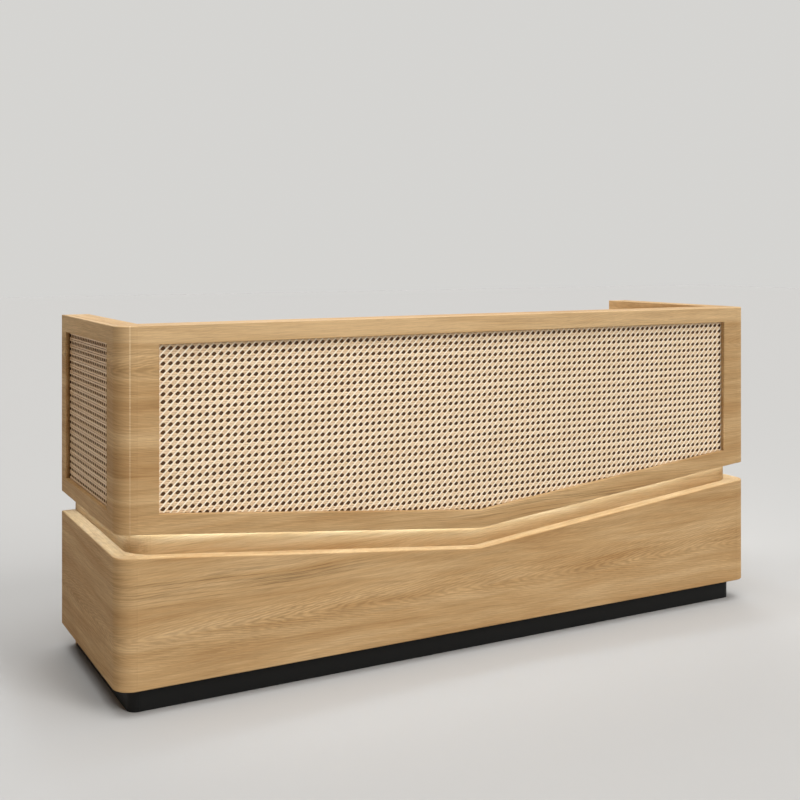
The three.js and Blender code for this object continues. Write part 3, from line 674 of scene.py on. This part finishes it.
cane = cane_fibre()
front_columns = FRONT_MIDDLE + PITCH * np.arange(-FRONT_HOLES_BESIDE, FRONT_HOLES_BESIDE + 1)
side_columns = SIDE_MIDDLE + PITCH * np.arange(-SIDE_HOLES_BESIDE, SIDE_HOLES_BESIDE + 1)
front_rows = TOP_ROW - PITCH * np.arange(FRONT_ROWS)
side_rows = TOP_ROW - PITCH * np.arange(SIDE_ROWS)
for side, columns, rows, contains, placed, cuts in (
    ("front", front_columns, front_rows, in_front_opening, on_front, FRONT_CANE),
    ("left", -side_columns[::-1], side_rows, in_side_opening(-1), on_side(-1), SIDE_CANE),
    ("right", side_columns, side_rows, in_side_opening(1), on_side(1), SIDE_CANE),
):
    for family, (points, faces, tone) in weave(columns, rows, contains, cuts):
        mesh = bpy.data.meshes.new(f"cane_{side}_{family}")
        mesh.from_pydata(placed(points), [], faces)
        mesh.attributes.new("tone", "FLOAT", "POINT").data.foreach_set("value", tone.astype(np.float32))
        mesh.shade_smooth()
        piece = new_piece(f"cane_{side}_{family}", mesh, "desk", cane)
        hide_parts(f"cane_{side}")


# Light strip
# A run of cool white lights behind an opal cover,
# pressed into its slot in the soffit and flush with it.
STRIP_COLOUR = srgb(206, 231, 255)
STRIP_GLOW = 18.0
OPAL = srgb(252, 244, 228)
OPAL_PER_METRE = 900.0
OPAL_DEPTH = 0.00005


def opal_cover():
    """Opal plastic that glows evenly from the lights behind it, with a faint grain."""
    finish, tree, shader = new_finish("opal_cover", OPAL)
    shader.inputs["Emission Color"].default_value = STRIP_COLOUR
    shader.inputs["Emission Strength"].default_value = STRIP_GLOW
    add_bump(tree, shader, noise(tree, object_place(tree), OPAL_PER_METRE), OPAL_DEPTH)
    return finish


paint("led_strip", opal_cover())


# Wall tops
# Veneered strips on the core, let in flush between the casing and the linings
# with a hairline seam on each side.
front_cap_oak = oak_veneer(
    "front_cap_oak", grain_along("XZY"), heart=(0.9, -0.2), veins_at=(0.6, -0.3), board=2
)
side_cap_oak = oak_veneer(
    "side_cap_oak", grain_along("YZX"), heart=(0.9, 1.0), veins_at=(0.2, 1.16), board=3
)
paint("top_cap_front", front_cap_oak)
for name in ("top_cap_left", "top_cap_right"):
    paint(name, side_cap_oak)


# Linings
# Veneered boards on the staff side of the walls, from the floor to the wall tops. The side ones fold round
# to close the rear ends. All their arrises are eased.
LINING_ARRIS = 0.0015
front_lining_oak = oak_veneer(
    "front_lining_oak", grain_along("XYZ"), heart=(0.25, 0.93), veins_at=(-0.4, 0.5), board=4
)
side_lining_oak = oak_veneer(
    "side_lining_oak", grain_along("YXZ"), heart=(1.3, 0.88), veins_at=(0.1, 1.0), board=5
)
eased_board("front_lining", "lining_front", "desk", front_lining_oak, LINING_ARRIS)
for side in ("left", "right"):
    eased_board(f"{side}_lining", f"lining_{side}", "desk", side_lining_oak, LINING_ARRIS)


# Worktop
# One veneered board at sitting height between the walls, eased on the staff's edge,
# with a black plastic ring let in flush in each cable hole.
TOP_ARRIS = 0.002
STAFF_EDGES_FROM = 0.3
LATHE_SIDES = 64
POINT_MERGE = 1e-6
BLACK_PLASTIC = srgb(34, 34, 35)
RING_BORE = 0.027
RING_TUBE = 0.030
RING_FLANGE = 0.036
RING_LIP = 0.002
RING_LENGTH = 0.024
RING_RIM = 0.0008
RING_MOUTH = 0.0016
ARC_SAG = 0.3


def at_staff_edge(middles):
    """Edges of the worktop on the staff's side."""
    return middles[:, 1] > STAFF_EDGES_FROM


def lathe(profile):
    """A turned surface: points (radius, height) carried round the Z axis; a closed profile gives a ring."""
    angle = np.arange(LATHE_SIDES) * 2 * np.pi / LATHE_SIDES
    radius, height = np.asarray(profile, float).T
    x = np.outer(np.cos(angle), radius)
    y = np.outer(np.sin(angle), radius)
    vertices = np.stack([x, y, np.broadcast_to(height, x.shape)], axis=-1)
    index = np.arange(x.size).reshape(x.shape)
    ahead = np.roll(index, -1, axis=0)
    faces = np.stack([index[:, :-1], ahead[:, :-1], ahead[:, 1:], index[:, 1:]], axis=-1)
    return vertices.reshape(-1, 3), faces.reshape(-1, 4)


def turned_mesh(name, vertices, faces):
    """A mesh of a turned surface, its doubled seam and pole points merged and its faces turned outwards."""
    shape = bmesh.new()
    mesh = bpy.data.meshes.new(name)
    mesh.from_pydata(vertices, [], faces)
    shape.from_mesh(mesh)
    bmesh.ops.remove_doubles(shape, verts=shape.verts, dist=POINT_MERGE)
    bmesh.ops.dissolve_degenerate(shape, edges=shape.edges, dist=POINT_MERGE)
    bmesh.ops.recalc_face_normals(shape, faces=shape.faces)
    shape.to_mesh(mesh)
    shape.free()
    mesh.shade_smooth()
    mesh.set_sharp_from_angle(angle=SHARP)
    return mesh


def moulded_plastic(name, colour, roughness, grain_per_metre, grain_depth):
    """Moulded plastic with a fine spark-eroded grain, which breaks up its sheen."""
    finish, tree, shader = new_finish(name, colour)
    grain = noise(tree, object_place(tree), grain_per_metre)
    tree.links.new(vary(tree, grain, *roughness), shader.inputs["Roughness"])
    add_bump(tree, shader, grain, grain_depth)
    return finish


worktop_oak = oak_veneer(
    "worktop_oak", grain_along("XZY"), heart=(-0.75, 0.06), veins_at=(0.5, 0.2), board=6
)
eased_board("worktop_board", "worktop", "desk", worktop_oak, TOP_ARRIS, at_staff_edge)

# The ring's half section from its foot round the flange, with a round rim and a round mouth
ring_profile = [
    (RING_BORE, -RING_LENGTH),
    (RING_TUBE, -RING_LENGTH),
    (RING_TUBE, -RING_LIP),
    (RING_FLANGE, -RING_LIP),
    (RING_FLANGE, -RING_RIM),
    (RING_FLANGE - RING_RIM * ARC_SAG, -RING_RIM * ARC_SAG),
    (RING_FLANGE - RING_RIM, 0.0),
    (RING_BORE + RING_MOUTH, 0.0),
    (RING_BORE + RING_MOUTH * ARC_SAG, -RING_MOUTH * ARC_SAG),
    (RING_BORE, -RING_MOUTH),
    (RING_BORE, -RING_LENGTH),
]
black_moulding = moulded_plastic(
    "black_moulding", BLACK_PLASTIC, roughness=(0.42, 0.58), grain_per_metre=1400.0, grain_depth=0.00004
)
for side in ("left", "right"):
    low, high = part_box(f"grommet_{side}")
    vertices, faces = lathe(ring_profile)
    middle = np.array([(low.x + high.x) / 2, (low.y + high.y) / 2, high.z])
    mesh = turned_mesh(f"cable_ring_{side}", vertices + middle, faces)
    piece = new_piece(f"cable_ring_{side}", mesh, "desk", black_moulding)
    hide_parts(f"grommet_{side}")


# Driver of the light
# A white plastic housing fixed to the front lining under the worktop,
# with a socket for its lead in one end.
DRIVER_ARRIS = 0.0015
WHITE_PLASTIC = srgb(229, 229, 224)
white_moulding = moulded_plastic(
    "white_moulding", WHITE_PLASTIC, roughness=(0.4, 0.55), grain_per_metre=1200.0, grain_depth=0.00005
)
eased_board("light_driver", "led_driver", "desk", white_moulding, DRIVER_ARRIS)


# Boards of the drawer unit and the cupboard
# Veneered sides that stand on the floor, bases on the toe boards, and one shelf.
# All of them have eased edges.
BOARD_ARRIS = 0.001
upright_oak = oak_veneer("upright_oak", grain_along("ZXY"), heart=(0.6, 0.1), veins_at=(0.4, -0.1), board=7)
level_oak = oak_veneer("level_oak", grain_along("XZY"), heart=(-0.3, 0.1), veins_at=(0.9, 0.2), board=8)
for unit in ("drawer_unit", "cupboard"):
    eased_board(f"{unit}_upright", f"{unit}_side", "desk", upright_oak, BOARD_ARRIS)
    eased_board(f"{unit}_floor", f"{unit}_base", "desk", level_oak, BOARD_ARRIS)
eased_board("cupboard_shelf_board", "cupboard_shelf", "desk", level_oak, BOARD_ARRIS)


# Drawers
# Oak-veneered fronts on boxes of birch plywood, whose grooved sides ride on steel strips.
# Each front has a turned steel knob in its middle.
FRONT_ARRIS = 0.0012
BIRCH = srgb(222, 203, 168)
BIRCH_DARK = srgb(211, 189, 151)
BIRCH_LIGHT = srgb(231, 214, 182)
BIRCH_ROUGHNESS = (0.45, 0.56)
SILK_STRETCH = (9.0, 3.0, 40.0)
SILK_DETAIL = 3.0
BIRCH_FIBRE_STRETCH = (30.0, 30.0, 500.0)
BIRCH_FIBRE_DEPTH = 0.0001
BIRCH_FIBRE_BUMP = 0.5
STEEL_GREY = srgb(196, 198, 201)
STEEL_ROUGHNESS = (0.26, 0.42)
BRUSH_STRETCH = (160.0, 2600.0, 160.0)
BRUSH_DETAIL = 3.0
BRUSH_DEPTH = 0.00002
KNOB_FOOT = 0.009
KNOB_RIM_HEIGHT = 0.0015
KNOB_NECK = 0.0065
KNOB_WAIST = 0.008
KNOB_HEAD = 0.013
KNOB_EDGE = 0.0135
KNOB_LENGTH = 0.018
BOW_STEPS = 10


def birch_ply():
    """Pale birch with a faint silky figure that runs level along the boards, and fine fibres."""
    finish, tree, shader = new_finish("birch_ply", BIRCH)
    place = object_place(tree)
    silk = noise(tree, stretched(tree, place, SILK_STRETCH), 1.0, SILK_DETAIL)
    colour = ramp(tree, silk, *zip(MOST_OF_NOISE, (BIRCH_DARK, BIRCH_LIGHT)))
    tree.links.new(colour, shader.inputs["Base Color"])
    tree.links.new(vary(tree, silk, *BIRCH_ROUGHNESS), shader.inputs["Roughness"])
    fibres = noise(tree, stretched(tree, place, BIRCH_FIBRE_STRETCH), 1.0)
    add_bump(tree, shader, fibres, BIRCH_FIBRE_DEPTH, BIRCH_FIBRE_BUMP)
    return finish


def satin_steel():
    """Steel with fine brushing: a noise pressed together along Y, the axis of the knobs."""
    finish, tree, shader = new_finish("satin_steel", STEEL_GREY, metallic=1.0)
    brushing = noise(tree, stretched(tree, object_place(tree), BRUSH_STRETCH), 1.0, BRUSH_DETAIL)
    tree.links.new(vary(tree, brushing, *STEEL_ROUGHNESS), shader.inputs["Roughness"])
    add_bump(tree, shader, brushing, BRUSH_DEPTH)
    return finish


def bow(start, middle, end):
    """Points of a parabola from start to end, drawn towards middle, without its last point."""
    t = (np.arange(BOW_STEPS) / BOW_STEPS)[:, None]
    return (1 - t) ** 2 * np.array(start) + 2 * t * (1 - t) * np.array(middle) + t**2 * np.array(end)


birch = birch_ply()
steel = satin_steel()
knob_profile = np.concatenate(
    [
        [(0.0, 0.0), (KNOB_FOOT, 0.0)],
        bow((KNOB_FOOT, KNOB_RIM_HEIGHT), (KNOB_NECK, KNOB_RIM_HEIGHT), (KNOB_NECK, KNOB_WAIST)),
        bow((KNOB_NECK, KNOB_WAIST), (KNOB_HEAD, KNOB_WAIST), (KNOB_HEAD, KNOB_EDGE)),
        bow((KNOB_HEAD, KNOB_EDGE), (KNOB_HEAD, KNOB_LENGTH), (0.0, KNOB_LENGTH)),
        [(0.0, KNOB_LENGTH)],
    ]
)


def turned_knob(name, node, body):
    """The knob's profile turned about an axis along +Y, its foot on the face that carries it."""
    low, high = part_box(node)
    vertices, faces = lathe(knob_profile)
    foot = np.array([(low.x + high.x) / 2, low.y, (low.z + high.z) / 2])
    turned = np.stack([vertices[:, 0], vertices[:, 2], -vertices[:, 1]], axis=-1) + foot
    piece = new_piece(name, turned_mesh(name, turned, faces), body, steel)
    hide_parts(node)


front_oak = oak_veneer("front_oak", grain_along("XYZ"), heart=(-0.35, 0.42), veins_at=(-0.9, 0.3), board=9)
for level in ("top", "middle", "bottom"):
    drawer = f"drawer_{level}"
    eased_board(f"{drawer}_face", f"{drawer}_front", drawer, front_oak, FRONT_ARRIS)
    eased_board(f"{drawer}_tray", f"{drawer}_box", drawer, birch, BOARD_ARRIS, segments=2)
    turned_knob(f"{drawer}_pull", f"{drawer}_knob", drawer)
    for side in ("left", "right"):
        paint(f"runner_{level}_{side}", steel)


# Lock
# A steel cam lock in the front of the top drawer,
# and its keeper, a steel angle fixed under the worktop.
LOCK_ARRIS = 0.0004
eased_board("cam_lock", "drawer_lock", "lock", steel, LOCK_ARRIS, segments=2)
eased_board("lock_angle", "lock_keeper", "desk", steel, LOCK_ARRIS, segments=2)


# Door
# A veneered door on a long strip hinge of two rolled steel leaves and a pin.
# One leaf is on the lining and one on the door's edge.
HINGE_ARRIS = 0.0003
door_oak = oak_veneer("door_oak", grain_along("XYZ"), heart=(-0.35, 0.36), veins_at=(0.9, 0.55), board=10)
eased_board("door_face", "cupboard_door", "door", door_oak, FRONT_ARRIS)
turned_knob("door_pull", "door_knob", "door")
eased_board("fixed_hinge_leaf", "hinge_frame_leaf", "desk", steel, HINGE_ARRIS, segments=1)
eased_board("moving_hinge_leaf", "hinge_door_leaf", "door", steel, HINGE_ARRIS, segments=1)
paint("hinge_pin", steel)


# Floor, light and camera
# A pale matt floor that meets a world of the same tone. Four distant lamps light the whole length evenly,
# from the front right, from overhead, from behind and, weak and warm, from the left. Two soft boxes fill
# the staff side and the top of the front wall.
FLOOR_SIZE = 60.0
FLOOR_COLOUR = srgb(180, 179, 177)
FLOOR_ROUGHNESS = 0.9
SKY_COLOUR = (1.0, 0.99, 0.962, 1.0)
BACKDROP_GLOW = 0.666
AMBIENT = 0.07
WHITE_LIGHT = (1.0, 1.0, 1.0)
WARM_LIGHT = (1.0, 0.62, 0.36)
CAMERA_PLACE = (-2.028784, -3.464931, 1.309680)
CAMERA_TURN = -0.492
SENSOR_WIDTH = 36.0
PICTURE_PIXELS = 800
FOCAL_PIXELS = 1129.212
VANISHING_X_PIXELS = 384.084
VANISHING_Y_PIXELS = 251.646

half = FLOOR_SIZE / 2
floor_corners = [(-half, -half, 0), (half, -half, 0), (half, half, 0), (-half, half, 0)]
floor_mesh = bpy.data.meshes.new("floor")
floor_mesh.from_pydata(floor_corners, [], [(0, 1, 2, 3)])
floor_finish, _, floor_shader = new_finish("floor_paint", FLOOR_COLOUR, FLOOR_ROUGHNESS)
floor_shader.inputs["Specular IOR Level"].default_value = 0.0
floor_mesh.materials.append(floor_finish)
add_object("floor", floor_mesh)

# The world shows its full glow to the eye and in reflections, and gives the desk only a little light
world = bpy.data.worlds.new("studio")
bpy.context.scene.world = world
world.use_nodes = True
sky = world.node_tree.nodes["Background"]
sky.inputs["Color"].default_value = SKY_COLOUR
path = world.node_tree.nodes.new("ShaderNodeLightPath")
seen = calc(world.node_tree, "ADD", path.outputs["Is Camera Ray"], path.outputs["Is Glossy Ray"])
seen = calc(world.node_tree, "ADD", seen, path.outputs["Is Transmission Ray"])
glow = spread(world.node_tree, seen, 0.0, 1.0, AMBIENT, BACKDROP_GLOW)
world.node_tree.links.new(glow, sky.inputs["Strength"])


def shining_from(direction):
    """The turn of a lamp that stands in the given direction and shines back along it."""
    flat = math.hypot(direction[0], direction[1])
    return (math.atan2(flat, direction[2]), 0.0, math.atan2(direction[0], -direction[1]))


def distant_lamp(name, direction, power, degrees, colour=WHITE_LIGHT):
    """A lamp far away, so many degrees wide; at a power of 1 a white face turned to it shows white."""
    lamp = bpy.data.lights.new(name, "SUN")
    lamp.energy = power * math.pi
    lamp.angle = math.radians(degrees)
    lamp.color = colour
    add_object(name, lamp).rotation_euler = shining_from(direction)


def soft_box(name, place, target, size, watts):
    """A square area lamp at a place, turned to face the target and left out of sight and of reflections."""
    lamp = bpy.data.lights.new(name, "AREA")
    lamp.size = size
    lamp.energy = watts
    holder = add_object(name, lamp)
    holder.location = place
    holder.rotation_euler = shining_from(np.array(place) - np.array(target))
    holder.visible_camera = False
    holder.visible_glossy = False


distant_lamp("key", direction=(0.25, -0.55, 0.35), power=0.55, degrees=25)
distant_lamp("overhead", direction=(0.05, -0.2, 1.0), power=0.95, degrees=60)
distant_lamp("back", direction=(0.35, 0.75, 0.55), power=0.3, degrees=40)
distant_lamp("left", direction=(-1.0, -0.15, 0.1), power=0.085, degrees=40, colour=WARM_LIGHT)
soft_box("staff_fill", place=(-0.2, 1.0, 1.55), target=(1.15, 0.0, 1.0), size=0.9, watts=18)
soft_box("counter_light", place=(-0.6, -1.0, 1.75), target=(-0.6, -0.35, 1.07), size=0.4, watts=1.5)
bpy.context.scene.view_settings.view_transform = "Standard"

# A level camera, whose lens is shifted to put the vanishing point of its view where the photograph has it
lens = bpy.data.cameras.new("camera")
lens.sensor_width = SENSOR_WIDTH
lens.lens = FOCAL_PIXELS * SENSOR_WIDTH / PICTURE_PIXELS
lens.shift_x = (PICTURE_PIXELS / 2 - VANISHING_X_PIXELS) / PICTURE_PIXELS
lens.shift_y = (VANISHING_Y_PIXELS - PICTURE_PIXELS / 2) / PICTURE_PIXELS
camera = add_object("camera", lens)
camera.location = CAMERA_PLACE
camera.rotation_euler = (math.pi / 2, 0.0, CAMERA_TURN)
bpy.context.scene.camera = camera
